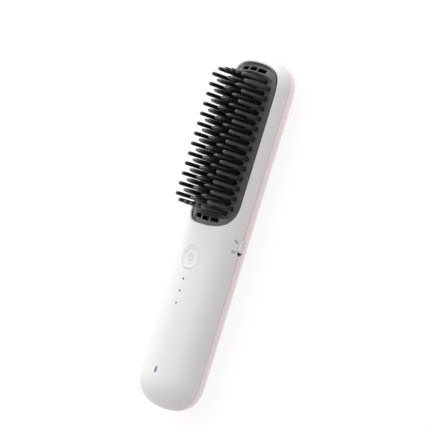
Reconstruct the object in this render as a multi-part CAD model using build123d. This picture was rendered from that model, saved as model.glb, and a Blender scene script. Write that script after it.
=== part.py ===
from build123d import *
from functools import cache
from math import cos, radians, sin, tan
import os

# A cordless hair straightening brush lying on its back: X across the body, Y from the handle to the head,
# Z up out of the teeth. Heights here start at the plane where the two covers meet, and save() lifts every
# piece so that the flat strip on the back rests at zero. All sizes are in millimetres.

# Body
body_length = 208.7
body_width = 47.4
body_depth = 28.8
end_length = 19.0
end_fullness = 0.664
shell_wall = 1.8
rest_cut = 0.45
lip_height = 1.2
lip_gap = 0.1
seam_height = 0.3
seam_depth = 0.4

# Head opening and tray
head_centre = 51.1
opening_length = 96.5
opening_width = 39.6
opening_end = 16.0
opening_fullness = 0.78
opening_round = 0.8
tray_gap = 0.15
tray_wall = 1.4
tray_floor = 7.2
tray_sink = 2.3
tray_skirt = 3.4
ramp_foot = 7.9
ramp_angle = 55.0
ramp_round = 4.0
flange_reach = 1.0
flange_gap = 0.12
flange_wall = 1.0
vent_length = 6.0
vent_width = 2.4
vent_pitch = 7.0
vent_edge = 3.7
vent_corner = 0.7
vent_bow = 0.35
vent_fan = 4.0
vent_panel_depth = 0.25
vent_panel_margin = 1.0
post_across = 12.2
post_edge = 5.4
post_radius = 1.8

# Teeth
row_pitch = 5.9
row_count = 13
row_offset = -0.2
pin_across = 14.4
pin_root = 1.3
pin_tip = 1.12
pin_top = 26.1
ring_pins = 5
ring_pitch = 5.2
top_ring_gap = 4.5
top_ring_bow = 0.9
tail_ring_gap = 3.6
tail_ring_bow = 0.4
fin_top = 25.9
fin_crown = 5.0
crown_turns = 0, 17, 33, 48, 62, 75
fin_side = 1.45
centre_fin_reach = 4.2
side_fin_across = 8.25
side_fin_reach = 3.75
pin_clearance = 0.15
fin_clearance = 0.25

# Heater stack, from the pins' frame down to the carrier
frame_gap = 0.1
frame_thickness = 1.4
frame_side = 2.0
frame_side_inner = 1.8
frame_end = 1.35
frame_end_inner = 1.3
frame_corner = 4.0
frame_window_corner = 1.0
window_gap = 0.3
plate_drop = 0.3
plate_thickness = 1.8
element_thickness = 1.2
element_width = 14.0
element_length = 62.0
mica_thickness = 0.4
clamp_thickness = 0.8
clamp_width = 16.4
clamp_length = 66.0
clamp_slot_count = 4
clamp_slot_pitch = 15.0
clamp_slot_length = 8.2
clamp_slot_width = 2.0
carrier_thickness = 1.2
carrier_wall = 1.2
carrier_margin = 2.0
ear_radius = 2.5
sensor_across = 9.8
sensor_radius = 0.6
sensor_length = 3.0
fuse_radius = 1.1
fuse_length = 9.0
fuse_round = 0.3
element_lead_inset = 1.4
lead_drop_inset = 1.9
lead_hole_gap = 0.3

# Ion module and needles
ion_width = 14.0
ion_length = 24.0
ion_height = 8.0
ion_place = 72.0
ion_top = -2.6
ion_corner = 1.0
ion_rest_width = 2.0
needle_radius = 0.4
needle_across = 3.5
needle_length = 8.0
needle_sharp = 1.6
needle_tip_radius = 0.07
needle_drop = 1.0
needle_gap = 0.05

# Main board and what it carries
board_top = 8.7
board_thickness = 1.2
board_width = 25.0
board_head_end = -9.0
board_tail_end = -88.5
board_corner = 2.0
board_notch_depth = 1.0
board_notch_length = 8.0
board_screw_across = 10.0
board_screw_head_end = -22.0
board_screw_tail_end = -84.4
chip_width = 7.0
chip_height = 1.1
chip_place = -57.0
chip_chamfer = 0.15
charger_width = 4.0
charger_place = -75.0
transistor_width = 5.0
transistor_length = 6.5
transistor_height = 1.6
transistor_across = 7.5
transistor_place = -66.0
choke_width = 6.0
choke_height = 2.4
choke_across = -6.0
choke_corner = 1.2
capacitor_radius = 2.0
capacitor_height = 2.4
capacitor_across = 6.5
capacitor_pitch = 5.0

# Power button
button_place = -17.2
button_radius = 6.7
button_gap = 0.3
button_travel = 0.5
button_flange = 1.0
button_wall = 0.8
dish_depth = 0.45
dish_radius = 34.0
tact_width = 6.0
tact_height = 1.6
plunger_radius = 1.5
plunger_rise = 0.8
plunger_gap = 0.08
plunger_hidden = 0.7
plunger_spare = 0.1

# Lamps and their windows
dot_first = -30.0
dot_pitch = 7.1
dot_count = 3
dot_radius = 0.65
dot_collar = 1.3
charge_place = -83.6
charge_width = 1.8
charge_length = 3.6
lens_gap = 0.05
lens_flange = 0.8
lens_flange_wall = 0.6
lens_air = 0.3
lamp_width = 0.8
lamp_length = 1.6
lamp_height = 0.6

# Lock slider and its switch
slot_head_end = 0.7
slot_length = 9.5
slot_height = 3.7
slider_length = 7.5
slider_travel = 1.8
slider_gap = 0.15
slider_proud = 0.65
slider_round = 0.4
slider_dish = 0.25
slider_dish_end = 1.0
slider_dish_side = 0.8
slider_lip = 1.2
slider_lip_end = 0.3
slider_lip_wall = 1.0
slider_back = 18.9
lever_width = 2.0
lever_height = 1.4
lever_reach = 1.6
lever_gap = 0.1
switch_front = 18.0
switch_depth = 3.6
switch_length = 9.0
switch_height = 4.0
side_board_thickness = 1.2
side_board_head_end = 5.2
side_board_tail_end = 11.0
side_board_height = 10.0
rib_wall = 1.6
rib_drop = 2.0

# Rechargeable cell and its cradle
cell_radius = 9.2
cell_length = 65.0
cell_drop = 2.4
cell_tail_end = -85.0
cell_round = 0.6
cradle_gap = 0.1
cradle_wall = 0.7
cradle_end = 1.2
cradle_rise = 1.0
cradle_ear = 12.8
cradle_ear_thickness = 1.2
cradle_screw_head_end = -34.0
cradle_screw_tail_end = -71.0
cradle_window_drop = 2.0
tab_thickness = 0.2
tab_width = 5.6
tab_gap = 0.2
tab_height = 11.0
sheet_thickness = 0.2
sheet_width = 16.0
sheet_inset = 1.0

# USB-C socket at the tail
usb_width = 8.94
usb_height = 3.26
usb_depth = 7.35
usb_wall = 0.3
usb_recess = 0.3
usb_gap = 0.18
usb_tongue_thickness = 0.7
usb_tongue_width = 6.7
usb_tongue_recess = 0.8
usb_board_width = 15.0
usb_board_thickness = 1.2
usb_board_tail_end = -100.8
usb_board_head_end = -88.9
usb_screw_across = 5.6
usb_screw_place = -91.2

# Fasteners
tail_screw_across = 14.5
tail_screw_place = -91.9
cover_boss_radius = 2.9
boss_gap = 0.1
cover_screw_radius = 1.0
cover_screw_head = 1.9
cover_screw_head_height = 1.3
cover_screw_seat = -6.0
cover_screw_bite = 4.6
plug_radius = 2.2
plug_depth = 1.6
plug_gap = 0.05
small_boss_radius = 2.1
small_screw_radius = 0.7
small_screw_head = 1.5
small_screw_head_height = 0.9
small_screw_bite = 3.0
screw_gap = 0.05
screw_spare = 0.4
recess_width = 0.5
recess_spread = 1.2

# Leads
thick_lead = 0.55
thin_lead = 0.4
lead_level = -2.6
ion_lead_level = -7.4
lead_bend = 1.4
cell_lead_reach = 2.2
heater_lead_rise = 2.0
sensor_lead_rise = 1.4
sensor_lead_across = 8.2
ion_lead_rise = 3.6
ion_lead_across = 1.2
switch_lead_rises = (3.2, 1.8)
switch_lead_inset = 1.8
switch_lead_drop = 2.0
usb_lead_across = 2.6
usb_lead_inset = 1.2
usb_lead_rise = 3.0
usb_lead_drop = 2.4

# Places worked out from the sizes above
mid_height = body_depth / 2 - rest_cut
row_centre = head_centre + row_offset
row_span = row_pitch * (row_count - 1)
rows = [row_centre - row_span / 2 + row_pitch * i for i in range(row_count)]
half_rows = [y + row_pitch / 2 for y in rows[:-1]]
frame_top = tray_floor - tray_wall - frame_gap
frame_bottom = frame_top - frame_thickness
plate_top = tray_floor - tray_wall - plate_drop
plate_bottom = plate_top - plate_thickness
element_bottom = plate_bottom - element_thickness
mica_bottom = element_bottom - mica_thickness
carrier_top = mica_bottom - clamp_thickness
carrier_bottom = carrier_top - carrier_thickness
needle_foot = carrier_bottom - needle_drop
board_bottom = board_top - board_thickness
slot_centre = slot_head_end - slot_length / 2
slider_centre = slot_head_end - (slot_length - slider_length - slider_travel) / 2 - slider_length / 2
side_board_low = slider_centre - side_board_tail_end
side_board_high = slider_centre + side_board_head_end
cell_head_end = cell_tail_end + cell_length
usb_mouth = -body_length / 2 + usb_recess
far = body_length


# Shared shapes


def block(x0, x1, y0, y1, z0, z1):
    """A box between two limits on each axis."""
    return Pos((x0 + x1) / 2, (y0 + y1) / 2, (z0 + z1) / 2) * Box(x1 - x0, y1 - y0, z1 - z0)


def slab(z0, z1):
    """Everything between two heights."""
    return block(-far, far, -far, far, z0, z1)


def post(x, y, z0, z1, radius):
    """An upright round bar."""
    return Pos(x, y, (z0 + z1) / 2) * Cylinder(radius, z1 - z0)


def prism(face, z0, z1):
    """A plan outline raised between two heights."""
    return extrude(Pos(0, 0, z0) * face, amount=z1 - z0, dir=(0, 0, 1))


def both_sides(x, places):
    """The same places on the left and the right."""
    return [(side * x, y) for y in places for side in (-1, 1)]


def half_outline(half_width, straight, tip, fullness):
    """Right half of a long outline: two straight-sided quarters with full rounded ends."""
    shoulder = straight + fullness * (tip - straight)
    crown = fullness * half_width
    return [
        Bezier((0, -tip), (crown, -tip), (half_width, -shoulder), (half_width, -straight)),
        Line((half_width, -straight), (half_width, straight)),
        Bezier((half_width, straight), (half_width, shoulder), (crown, tip), (0, tip)),
    ]


@cache
def body_form(inset):
    """The outer form drawn in by inset: a round-ended rod flattened to an oval section."""
    half_width = body_width / 2 - inset
    tip = body_length / 2 - inset
    edges = half_outline(half_width, body_length / 2 - end_length, tip, end_fullness)
    rod = revolve(make_face(edges + [Line((0, tip), (0, -tip))]), axis=Axis.Y)
    return scale(rod, by=(1, 1, (body_depth / 2 - inset) / half_width)).solid()


def head_outline(grow):
    """Plan outline of the head opening, grown outward."""
    half_width = opening_width / 2 + grow
    straight = opening_length / 2 - opening_end
    right = half_outline(half_width, straight, opening_length / 2 + grow, opening_fullness)
    left = [mirror(edge, about=Plane.YZ) for edge in right]
    return Pos(0, head_centre) * make_face(right + left)


def screw(x, y, seat, up, radius, length, head_radius, head_height):
    """A pan-head screw with a cross recess. Its head lies behind the seat, its shank runs up or down."""
    shank = post(0, 0, 0, length, radius)
    head = post(0, 0, -head_height, 0, head_radius)
    spread = head_radius * recess_spread
    cross = Box(recess_width, spread, head_height) + Box(spread, recess_width, head_height)
    piece = shank + head - Pos(0, 0, -head_height) * cross
    return Pos(x, y, seat) * (piece if up else Rot(180, 0, 0) * piece)


def small_screw(x, y, seat, up, length):
    """A small screw for the boards, the cradle and the socket."""
    return screw(x, y, seat, up, small_screw_radius, length, small_screw_head, small_screw_head_height)


def lead(points, radius):
    """An insulated wire along straight runs with rounded corners."""
    path = FilletPolyline(*points, radius=lead_bend)
    start = Plane(origin=path @ 0, z_dir=path % 0)
    return sweep(start * Circle(radius), path=path)


def save(name, shape):
    """Write one sub-part, lifted so that the rest strip is at zero."""
    solids = [solid for item in (shape if isinstance(shape, list) else [shape]) for solid in item.solids()]
    lifted = [Pos(0, 0, mid_height) * solid for solid in solids]
    export_step(lifted[0] if len(lifted) == 1 else Compound(children=lifted), f"parts/{name}.step")


# Places shared by several pieces

head_posts = both_sides(post_across, [head_centre - opening_length / 2 + post_edge])
head_posts += both_sides(post_across, [head_centre + opening_length / 2 - post_edge])
tail_screws = both_sides(tail_screw_across, [tail_screw_place])
board_screws = both_sides(board_screw_across, [board_screw_head_end, board_screw_tail_end])
cradle_screws = both_sides(cradle_ear, [cradle_screw_head_end, cradle_screw_tail_end])
usb_screws = both_sides(usb_screw_across, [usb_screw_place])
dots = [dot_first - dot_pitch * i for i in range(dot_count)]


def ring_places():
    """The five pins in an arc beyond each end of the rows."""
    places = []
    reach = ring_pitch * (ring_pins - 1) / 2
    for i in range(ring_pins):
        x = ring_pitch * i - reach
        bow = (x / reach) ** 2
        places.append((x, rows[-1] + top_ring_gap - top_ring_bow * bow))
        places.append((x, rows[0] - tail_ring_gap + tail_ring_bow * bow))
    return places


pins = both_sides(pin_across, rows) + ring_places()
fins = [(0, y, centre_fin_reach) for y in rows]
fins += [(x, y, side_fin_reach) for x, y in both_sides(side_fin_across, half_rows)]


# Covers


def usb_hole():
    """Opening for the charging socket through the tail of both covers."""
    height = usb_height + 2 * usb_gap
    mouth = SlotOverall(usb_width + 2 * usb_gap, height)
    return extrude(Plane.XZ.offset(body_length / 2 - end_length) * mouth, amount=end_length * 2)


def slider_slot(length, height, centre, x0, x1):
    """A slot-shaped prism through the right side."""
    return extrude(Plane.YZ.offset(x0) * Pos(centre, 0) * SlotOverall(length, height), amount=x1 - x0)


def rim_edges(shell):
    """The edge where the head opening meets the outside of the cover."""
    core = body_form(shell_wall / 2)
    found = []
    for edge in shell.edges():
        middle = edge @ 0.5
        across = abs(middle.X) < opening_width / 2 + 0.01
        along = abs(middle.Y - head_centre) < opening_length / 2 + 0.01
        if across and along and middle.Z > lip_height * 2 and not core.is_inside(middle):
            found.append(edge)
    return found


def front_cover():
    shell = (body_form(0) - body_form(shell_wall)) & slab(0, far)
    shell = shell - prism(head_outline(0), 0, far)
    shell = fillet(rim_edges(shell), opening_round)
    shell = shell - (body_form(shell_wall / 2) & slab(-lip_height, lip_height + lip_gap))
    shell = shell - ((body_form(-seam_depth) - body_form(seam_depth)) & slab(-lip_height, seam_height))
    core = body_form(shell_wall / 2)
    bosses = [post(x, y, lip_height * 2, far, cover_boss_radius) & core for x, y in tail_screws]
    bosses += [post(x, y, board_top, far, small_boss_radius) & core for x, y in board_screws]
    shell = shell + [post(x, y, 0, lip_height * 2, cover_boss_radius) for x, y in tail_screws] + bosses
    end = cover_screw_bite + screw_spare
    holes = [post(x, y, -lip_height, end, cover_screw_radius + screw_gap) for x, y in tail_screws]
    end = board_bottom + small_screw_bite + screw_spare
    holes += [post(x, y, board_bottom, end, small_screw_radius + screw_gap) for x, y in board_screws]
    holes.append(post(0, button_place, lip_height * 2, far, button_radius + button_gap))
    holes += [post(0, y, lip_height * 2, far, dot_radius + lens_gap) for y in dots]
    pill = SlotOverall(charge_length + 2 * lens_gap, charge_width + 2 * lens_gap)
    pill = Pos(0, charge_place) * Rot(0, 0, 90) * pill
    holes.append(prism(pill, lip_height * 2, far))
    holes.append(slider_slot(slot_length, slot_height, slot_centre, body_width / 4, far))
    holes.append(usb_hole())
    return shell - holes


def rear_boss(x, y, top, radius):
    """A screw boss that grows out of the rear cover's inner face."""
    return post(x, y, -far, top, radius) & body_form(shell_wall / 2)


def rear_cover():
    shell = (body_form(0) - body_form(shell_wall)) & slab(-mid_height, 0)
    lip = body_form(shell_wall / 2 + lip_gap) - body_form(shell_wall)
    shell = shell + (lip & slab(-lip_height, lip_height))
    screws = [(x, y, carrier_bottom - boss_gap) for x, y in head_posts]
    screws += [(x, y, -boss_gap) for x, y in tail_screws]
    parts = [rear_boss(x, y, top, cover_boss_radius) for x, y, top in screws]
    parts += [rear_boss(x, y, cradle_ear_bottom(), small_boss_radius) for x, y in cradle_screws]
    parts += [rear_boss(x, y, usb_board_bottom(), small_boss_radius) for x, y in usb_screws]
    core = body_form(shell_wall / 2)
    back = switch_front - switch_depth
    board = back - side_board_thickness
    rib_top = side_board_height / 2 - rib_drop
    for y in (side_board_low, side_board_high):
        rib = block(board - rib_wall, back + rib_wall, y - rib_wall, y + rib_wall, -far, rib_top)
        parts.append(rib & core)
    width, length = ion_width / 2, ion_rest_width / 2
    for y in (ion_place - ion_length / 3, ion_place + ion_length / 3):
        rest = block(-width, width, y - length, y + length, -far, ion_top - ion_height)
        parts.append(rest & core)
    shell = shell + parts
    holes = []
    for x, y, top in screws:
        holes.append(post(x, y, -far, cover_screw_seat, plug_radius))
        holes.append(post(x, y, -far, far, cover_screw_radius + screw_gap))
    for x, y in cradle_screws:
        top = cradle_ear_bottom()
        end = top - small_screw_bite - screw_spare
        holes.append(post(x, y, end, far, small_screw_radius + screw_gap))
    for x, y in usb_screws:
        top = usb_board_bottom()
        end = top - small_screw_bite - screw_spare
        holes.append(post(x, y, end, far, small_screw_radius + screw_gap))
    low = -side_board_height / 2 - lip_gap
    y0 = side_board_low - lip_gap
    y1 = side_board_high + lip_gap
    holes.append(block(board - lip_gap, back + lip_gap, y0, y1, low, far))
    holes.append(slider_slot(slot_length, slot_height, slot_centre, body_width / 4, far))
    holes.append(usb_hole())
    return shell - holes


def screw_plugs():
    """Discs that close the screw holes in the back, flush with it."""
    skin = (body_form(0) - body_form(plug_depth)) & slab(-mid_height, 0)
    return [post(x, y, -far, 0, plug_radius - plug_gap) & skin for x, y in head_posts + tail_screws]


# Head


def ramp_profile(drop):
    """Side view of the tray's hollow, lowered into the material by drop."""
    half = opening_length / 2 - ramp_foot + drop * tan(radians(ramp_angle / 2))
    floor = tray_floor - drop
    run = (far - floor) / tan(radians(ramp_angle))
    points = [(-half - run, far), (-half, floor), (half, floor), (half + run, far)]
    top = FilletPolyline(*points, radius=ramp_round + drop)
    base = Polyline((half + run, far), (half + run, -far), (-half - run, -far), (-half - run, far))
    side = Plane.YZ * Pos(head_centre, 0) * make_face([*top.edges(), *base.edges()])
    return extrude(side, amount=body_width / 2, both=True)


def tray_mass(outline, drop):
    """The tray's outside, or its hollow underside when lowered by a wall."""
    crown = body_form(tray_sink + drop) + slab(-far, tray_floor - drop)
    return prism(outline, 0, far) & ramp_profile(drop) & crown


def vent_slots(length, width, corner):
    """Vent outlines at both ends, in a gentle arc."""
    outlines = []
    for end in (-1, 1):
        edge = head_centre + end * (opening_length / 2 - vent_edge)
        for i in (-1, 0, 1):
            spot = Pos(i * vent_pitch, edge - end * vent_bow * abs(i)) * Rot(0, 0, -end * i * vent_fan)
            outlines.append(spot * RectangleRounded(length, width, corner))
    return outlines


def vent_panels():
    """A shallow recess around each set of vents."""
    panels = []
    for end in (-1, 1):
        edge = head_centre + end * (opening_length / 2 - vent_edge - vent_bow / 2)
        length = 2 * vent_pitch + vent_length + 2 * vent_panel_margin
        width = vent_width + 2 * vent_panel_margin
        outline = Pos(0, edge) * RectangleRounded(length, width, vent_panel_margin + vent_corner)
        panels.append(prism(outline, tray_floor, far))
    return panels


def fin_slots(grow):
    """Plan sections of the fins where they pass through the tray."""
    return [Pos(x, y) * Ellipse(reach + grow, fin_side + grow) for x, y, reach in fins]


def head_tray():
    inner = head_outline(-tray_gap - tray_wall)
    tray = tray_mass(head_outline(-tray_gap), 0) - tray_mass(inner, tray_wall) - slab(-far, tray_skirt)
    band = body_form(shell_wall + flange_gap) - body_form(shell_wall + flange_gap + flange_wall)
    band = band & prism(head_outline(flange_reach), lip_height * 2, far)
    tray = tray + (band - prism(head_outline(-tray_gap), 0, far))
    under = prism(inner, 0, far) & ramp_profile(tray_wall / 2) & body_form(tray_sink + tray_wall / 2)
    posts = [post(x, y, carrier_top, far, post_radius) & under for x, y in head_posts]
    tray = tray + posts
    skin = body_form(0) - body_form(tray_sink + vent_panel_depth)
    holes = [panel & skin for panel in vent_panels()]
    holes += [prism(slot, tray_skirt, far) for slot in vent_slots(vent_length, vent_width, vent_corner)]
    holes += [post(x, y, 0, far, pin_root + pin_clearance) for x, y in pins]
    holes += [prism(slot, 0, far) for slot in fin_slots(fin_clearance)]
    end = cover_screw_bite + screw_spare
    holes += [post(x, y, 0, end, cover_screw_radius + screw_gap) for x, y in head_posts]
    return tray - holes


def pin(x, y):
    """A round pin, a little slimmer at its rounded tip."""
    length = pin_top - pin_tip - frame_top
    shaft = Cone(pin_root, pin_tip, length, align=(Align.CENTER, Align.CENTER, Align.MIN))
    return Pos(x, y, frame_top) * (shaft + Pos(0, 0, length) * Sphere(pin_tip))


def frame_window():
    """Half width and both ends of the window in the pins' frame."""
    low = rows[0] - tail_ring_gap + tail_ring_bow + frame_end_inner
    high = rows[-1] + top_ring_gap - top_ring_bow - frame_end_inner
    return pin_across - frame_side_inner, low, high


def outer_pins():
    """Frame of the 36 unheated pins, around the heated comb."""
    low = rows[0] - tail_ring_gap - frame_end
    high = rows[-1] + top_ring_gap + frame_end
    width = 2 * (pin_across + frame_side)
    frame = Pos(0, (low + high) / 2) * RectangleRounded(width, high - low, frame_corner)
    half, low, high = frame_window()
    window = Pos(0, (low + high) / 2) * RectangleRounded(2 * half, high - low, frame_window_corner)
    return prism(frame - window, frame_bottom, frame_top) + [pin(x, y) for x, y in pins]


def plate_limits():
    """Half width and both ends of the heated plate, inside the pins' frame."""
    half, low, high = frame_window()
    return half - window_gap, low + window_gap, high - window_gap


def fin(reach):
    """A leaf-shaped fin: oval in section, its crown rounded in a few steep steps."""
    shoulder = fin_top - fin_crown - plate_top
    rings = []
    for turn in crown_turns:
        shrink = cos(radians(turn))
        height = shoulder + fin_crown * sin(radians(turn)) / sin(radians(crown_turns[-1]))
        rings.append(Pos(0, 0, height) * Ellipse(reach * shrink, fin_side * shrink))
    return prism(Ellipse(reach, fin_side), 0, shoulder) + loft(rings, ruled=True)


def comb_plate():
    """The flat plate that the element heats, inside the pins' frame."""
    side, low, high = plate_limits()
    return block(-side, side, low, high, plate_bottom, plate_top)


def comb_fins():
    """Every fin as a piece of its own, brazed upright on the plate."""
    kinds = {reach: fin(reach) for reach in (centre_fin_reach, side_fin_reach)}
    return [Pos(x, y, plate_top) * kinds[reach] for x, y, reach in fins]


def heating_element():
    width, length = element_width / 2, element_length / 2
    return block(-width, width, head_centre - length, head_centre + length, element_bottom, plate_bottom)


def mica_sheet():
    width, length = clamp_width / 2, clamp_length / 2
    return block(-width, width, head_centre - length, head_centre + length, mica_bottom, element_bottom)


def heater_clamp():
    """Steel plate with lightening slots that presses the element up against the comb."""
    width, length = clamp_width / 2, clamp_length / 2
    plate = block(-width, width, head_centre - length, head_centre + length, carrier_top, mica_bottom)
    slots = []
    for i in range(clamp_slot_count):
        y = head_centre + clamp_slot_pitch * (i - (clamp_slot_count - 1) / 2)
        slot = Pos(0, y) * SlotOverall(clamp_slot_length, clamp_slot_width)
        slots.append(prism(slot, carrier_top, mica_bottom))
    return plate - slots


def lead_drop():
    """Where the head's leads go down through the carrier."""
    return plate_limits()[1] + lead_drop_inset


def heater_carrier():
    """Heat-resistant tray that carries the heater and the pins' frame."""
    outline = head_outline(-tray_gap - tray_wall - carrier_margin)
    base = prism(outline, carrier_bottom, carrier_top)
    base = base + [post(x, y, carrier_bottom, carrier_top, ear_radius) for x, y in head_posts]
    side, low, high = frame_window()
    inner = block(-side, side, low, high, carrier_bottom, frame_bottom)
    side, low, high = side + carrier_wall, low - carrier_wall, high + carrier_wall
    wall = block(-side, side, low, high, carrier_top, frame_bottom) - inner
    holes = [post(x, y, -far, far, cover_screw_radius + screw_gap) for x, y in head_posts]
    element_lead = element_width / 2 - element_lead_inset
    for x in (-sensor_across, -element_lead, element_lead, sensor_across):
        holes.append(post(x, lead_drop(), -far, far, thick_lead + lead_hole_gap))
    holes += [post(x, y, -far, far, needle_radius + needle_gap) for x, y in needle_places()]
    return base + wall - holes


def needle_places():
    edge = opening_length / 2 - vent_edge
    return both_sides(needle_across, [head_centre - edge, head_centre + edge])


def ion_needles():
    """Pointed wires that stand under the vent slots."""
    pieces = []
    top = needle_foot + needle_length - needle_sharp
    for x, y in needle_places():
        point = Cone(needle_radius, needle_tip_radius, needle_sharp)
        point = Pos(x, y, top + needle_sharp / 2) * point
        pieces.append(post(x, y, needle_foot, top, needle_radius) + point)
    return pieces


def ion_module():
    width, length = ion_width / 2, ion_length / 2
    case = block(-width, width, ion_place - length, ion_place + length, ion_top - ion_height, ion_top)
    return fillet(case.edges().filter_by(Axis.Z), ion_corner)


def temperature_sensor():
    """Glass bead sensor held against the comb's plate."""
    bar = Rot(90, 0, 0) * Cylinder(sensor_radius, sensor_length)
    return Pos(sensor_across, head_centre, plate_bottom - sensor_radius) * bar


def thermal_fuse():
    """Round fuse held against the comb's plate."""
    bar = Rot(90, 0, 0) * Cylinder(fuse_radius, fuse_length)
    bar = fillet(bar.edges().filter_by(GeomType.CIRCLE), fuse_round)
    return Pos(-sensor_across, head_centre, plate_bottom - fuse_radius) * bar


def cover_screw_set():
    """Long screws up through the rear cover, into the tray's posts or the front cover's bosses."""
    bite = cover_screw_bite - cover_screw_seat
    sizes = (cover_screw_radius, bite, cover_screw_head, cover_screw_head_height)
    return [screw(x, y, cover_screw_seat, True, *sizes) for x, y in head_posts + tail_screws]


# Electronics


def main_board():
    half = board_width / 2
    middle = (board_head_end + board_tail_end) / 2
    outline = RectangleRounded(board_width, board_head_end - board_tail_end, board_corner)
    board = Pos(0, middle) * outline
    holes = [post(x, y, 0, far, small_screw_radius + screw_gap) for x, y in board_screws]
    for x in (-half, half):
        x0, x1 = x - board_notch_depth, x + board_notch_depth
        y0, y1 = middle - board_notch_length / 2, middle + board_notch_length / 2
        holes.append(block(x0, x1, y0, y1, 0, far))
    return prism(board, board_bottom, board_top) - holes


def board_screw_set():
    return [small_screw(x, y, board_bottom, True, small_screw_bite) for x, y in board_screws]


def control_chips():
    """Square packages for the controller and the charger."""
    pieces = []
    for x, y, width in ((0, chip_place, chip_width), (choke_across, charger_place, charger_width)):
        half = width / 2
        pieces.append(block(x - half, x + half, y - half, y + half, board_top, board_top + chip_height))
    return [chamfer(piece.edges().group_by(Axis.Z)[-1], chip_chamfer) for piece in pieces]


def power_transistors():
    pieces = []
    y0 = transistor_place - transistor_length / 2
    y1 = y0 + transistor_length
    side = transistor_width / 2
    for x in (0, transistor_across):
        piece = block(x - side, x + side, y0, y1, board_top, board_top + transistor_height)
        pieces.append(piece)
    return pieces


def choke_coil():
    half = choke_width / 2
    y = transistor_place
    x = choke_across
    piece = block(x - half, x + half, y - half, y + half, board_top, board_top + choke_height)
    return fillet(piece.edges().filter_by(Axis.Z), choke_corner)


def capacitors():
    top = board_top + capacitor_height
    places = (charger_place + capacitor_pitch / 2, charger_place - capacitor_pitch / 2)
    return [post(capacitor_across, y, board_top, top, capacitor_radius) for y in places]


def lamp(y):
    """A small surface-mounted lamp."""
    length, width = lamp_length / 2, lamp_width / 2
    return block(-length, length, y - width, y + width, board_top, board_top + lamp_height)


def indicator_lamps():
    return [lamp(y) for y in dots]


def charge_lamp():
    return lamp(charge_place)


def light_window(outline, collar):
    """A clear window in the front cover, flush outside, with a collar behind the wall."""
    bottom = board_top + lamp_height + lens_air
    window = prism(outline, bottom, far) & body_form(0)
    ring = prism(collar, bottom, far) & body_form(shell_wall + lens_gap)
    ring = ring - body_form(shell_wall + lens_gap + lens_flange_wall)
    return window + ring


def indicator_windows():
    return [light_window(Pos(0, y) * Circle(dot_radius), Pos(0, y) * Circle(dot_collar)) for y in dots]


def charge_window():
    turned = Pos(0, charge_place) * Rot(0, 0, 90)
    outline = turned * SlotOverall(charge_length, charge_width)
    collar = turned * SlotOverall(charge_length + 2 * lens_flange, charge_width + 2 * lens_flange)
    return light_window(outline, collar)


# Power button


def tact_top():
    return board_top + tact_height


def tact_switch():
    half = tact_width / 2
    case = block(-half, half, button_place - half, button_place + half, board_top, tact_top())
    bore_bottom = tact_top() - plunger_hidden - button_travel - plunger_spare
    return case - post(0, button_place, bore_bottom, far, plunger_radius + plunger_gap)


def tact_plunger():
    return post(0, button_place, tact_top() - plunger_hidden, tact_top() + plunger_rise, plunger_radius)


def power_button():
    """Round cap that follows the cover's curve, slightly dished, with a retaining flange and a foot."""
    under = shell_wall + lens_gap + flange_gap
    cap = post(0, button_place, 0, far, button_radius) & (body_form(0) - body_form(under + button_wall))
    skirt = post(0, button_place, 0, far, button_radius + button_gap + button_flange)
    cap = cap + (skirt & (body_form(under) - body_form(under + button_wall)))
    crown = body_depth / 2 - dish_depth
    cap = cap - Pos(0, button_place, crown + dish_radius) * Sphere(dish_radius)
    foot = post(0, button_place, tact_top() + plunger_rise, body_depth / 2 - under, plunger_radius)
    return cap + foot


# Lock slider


def lock_slider():
    """Thumb knob in its slot, with lips behind the wall and a socket for the switch's lever."""
    height = slot_height - 2 * slider_gap
    knob = slider_slot(slider_length, height, slider_centre, slider_back, far) & body_form(-slider_proud)
    outer = [edge for edge in knob.edges() if (edge @ 0.5).X > body_width / 2 - slider_proud]
    knob = fillet(outer, slider_round)
    length = slider_length - 2 * slider_dish_end
    dish = slider_slot(length, height - 2 * slider_dish_side, slider_centre, 0, far)
    dish = dish - body_form(slider_dish - slider_proud)
    length = slider_length - 2 * slider_lip_end
    lips = slider_slot(length, height + 2 * slider_lip, slider_centre, slider_back, far)
    wall = shell_wall + flange_gap
    lips = lips & (body_form(wall) - body_form(wall + slider_lip_wall))
    along = lever_width / 2 + lever_gap
    side = lever_height / 2 + lever_gap
    end = slider_back + lever_reach + lever_gap
    socket = block(0, end, slider_centre - along, slider_centre + along, -side, side)
    return knob - dish + lips - socket


def switch_lever():
    root = switch_front - switch_depth / 2
    low, high = slider_centre - lever_width / 2, slider_centre + lever_width / 2
    return block(root, slider_back + lever_reach, low, high, -lever_height / 2, lever_height / 2)


def slide_switch():
    """Switch case with a window that lets its lever travel."""
    y = slider_centre - slider_travel / 2
    half = switch_length / 2
    back = switch_front - switch_depth
    case = block(back, switch_front, y - half, y + half, -switch_height / 2, switch_height / 2)
    reach = lever_width / 2 + slider_travel / 2 + lever_gap
    side = lever_height / 2 + lever_gap
    return case - block(switch_front - switch_depth / 2 - lever_gap, far, y - reach, y + reach, -side, side)


def side_board():
    back = switch_front - switch_depth
    half = side_board_height / 2
    return block(back - side_board_thickness, back, side_board_low, side_board_high, -half, half)


# Cell


def lying(radius, y0, y1):
    """A round bar along the handle at the cell's height."""
    return Pos(0, (y0 + y1) / 2, -cell_drop) * Rot(90, 0, 0) * Cylinder(radius, y1 - y0)


def battery_cell():
    cell = lying(cell_radius, cell_tail_end, cell_head_end)
    return fillet(cell.edges().filter_by(GeomType.CIRCLE), cell_round)


def cradle_ear_bottom():
    return -cell_drop - cradle_ear_thickness


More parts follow.
